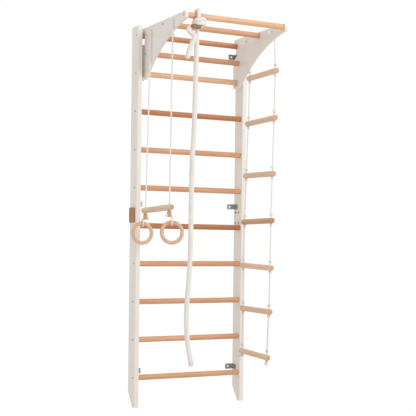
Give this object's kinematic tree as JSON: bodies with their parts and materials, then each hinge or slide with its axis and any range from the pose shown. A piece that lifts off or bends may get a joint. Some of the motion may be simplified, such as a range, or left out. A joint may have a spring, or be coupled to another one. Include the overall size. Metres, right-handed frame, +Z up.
{
  "type": "climbing wall",
  "caption": "Wall bars with wooden rungs, a hook-on pull-up frame, a climbing rope, a trapeze with hanging rings and a rope ladder.",
  "frame": {"origin": "centre of the rectangle of the four outer wall holes, on the wall's face, midway between the uprights", "axes": "+Z up, +Y into the wall, +X to the right of a person who faces the wall; the floor is at z = -1.149 m"},
  "size_m": [0.7876, 0.662, 2.205],
  "materials": {
    "white_board": "satin off-white paint on board",
    "joint_plate_wood": "brown stained, satin",
    "beech": "clear satin varnish",
    "dark_beech": "clear satin varnish, darker board",
    "pale_beech": "clear satin varnish",
    "ladder_beech": "clear satin varnish",
    "dark_ladder_beech": "clear satin varnish, darker board",
    "toggle_wood": "clear satin varnish",
    "thin_rope": "braided off-white rope",
    "climbing_rope_cotton": "laid off-white cotton rope",
    "tape": "off-white tape",
    "zinc_plate": "zinc plated",
    "dark_bolt": "dark zinc plated",
    "brass_screw": "yellow passivated"
  },
  "bodies": {
    "stall_bars": {"left_upright_lower": "white_board", "left_upright_upper": "white_board", "left_joint_plate": "joint_plate_wood", "wall_bracket_left_bottom": "zinc_plate", "wall_bracket_left_middle": "zinc_plate", "wall_bracket_left_top": "zinc_plate", "right_upright_lower": "white_board", "right_upright_upper": "white_board", "right_joint_plate": "joint_plate_wood", "wall_bracket_right_bottom": "zinc_plate", "wall_bracket_right_middle": "zinc_plate", "wall_bracket_right_top": "zinc_plate", "joint_bolts": "dark_bolt", "joint_insert_nuts": "zinc_plate", "wall_rung_01": "beech", "wall_rung_02": "beech", "wall_rung_03": "beech", "wall_rung_04": "beech", "wall_rung_05": "dark_beech", "wall_rung_06": "beech", "wall_rung_07": "beech", "wall_rung_08": "dark_beech", "wall_rung_09": "beech", "wall_rung_10": "dark_beech", "rung_screws": "brass_screw", "bracket_screws": "brass_screw"},
    "pull_up_frame": {"left_frame_plate": "white_board", "right_frame_plate": "white_board", "pull_up_bar_front": "pale_beech", "pull_up_bar_middle": "pale_beech", "pull_up_bar_rear": "pale_beech", "frame_bar_screws": "brass_screw", "trapeze_rope_stops": "thin_rope", "ladder_rope_stops": "thin_rope"},
    "rope_knot": {"climbing_rope_knot": "climbing_rope_cotton", "climbing_rope_toggle": "toggle_wood"},
    "climbing_rope": {"climbing_rope": "climbing_rope_cotton", "climbing_rope_whipping": "tape"},
    "trapeze": {"trapeze_bar": "ladder_beech", "trapeze_rope_front": "thin_rope", "trapeze_rope_rear": "thin_rope", "trapeze_toggle_front": "toggle_wood", "trapeze_toggle_rear": "toggle_wood", "trapeze_knots": "thin_rope"},
    "ring_front": {"ring_front": "ladder_beech", "ring_loop_front": "thin_rope"},
    "ring_rear": {"ring_rear": "ladder_beech", "ring_loop_rear": "thin_rope"},
    "rope_ladder": {"ladder_rung_1": "ladder_beech", "ladder_rung_2": "ladder_beech", "ladder_rung_3": "ladder_beech", "ladder_rung_4": "dark_ladder_beech", "ladder_rung_5": "ladder_beech", "ladder_rung_6": "ladder_beech", "ladder_rung_7": "ladder_beech", "ladder_rope_front": "thin_rope", "ladder_rope_rear": "thin_rope", "ladder_knots_front": "thin_rope", "ladder_knots_rear": "thin_rope"}
  },
  "joints": [
    {"name": "frame_lift", "type": "slide", "parent": "stall_bars", "child": "pull_up_frame", "axis": [0, 0, 1], "range_m": [0, 0.04]},
    {"name": "rope_swing", "type": "hinge", "parent": "pull_up_frame", "child": "rope_knot", "pos_m": [-0.2295, -0.618, 1.01455], "axis": [1, 0, 0], "range_deg": [-60, 3]},
    {"name": "rope_sway", "type": "hinge", "parent": "rope_knot", "child": "climbing_rope", "pos_m": [-0.234, -0.618, 0.93855], "axis": [0, 1, 0], "range_deg": [-40, 40]},
    {"name": "trapeze_swing", "type": "hinge", "parent": "pull_up_frame", "child": "trapeze", "pos_m": [-0.318, -0.341, 1.015], "axis": [0, 1, 0], "range_deg": [0, 50]},
    {"name": "ring_front_swing", "type": "hinge", "parent": "trapeze", "child": "ring_front", "pos_m": [-0.30956, -0.49075, -0.04853], "axis": [0, 1, 0], "range_deg": [-40, 5]},
    {"name": "ring_rear_swing", "type": "hinge", "parent": "trapeze", "child": "ring_rear", "pos_m": [-0.35776, -0.19125, -0.05846], "axis": [0, 1, 0], "range_deg": [-5, 40]},
    {"name": "ladder_swing", "type": "hinge", "parent": "pull_up_frame", "child": "rope_ladder", "pos_m": [0.318, -0.341, 1.015], "axis": [0, 1, 0], "range_deg": [-50, 0]}
  ]
}
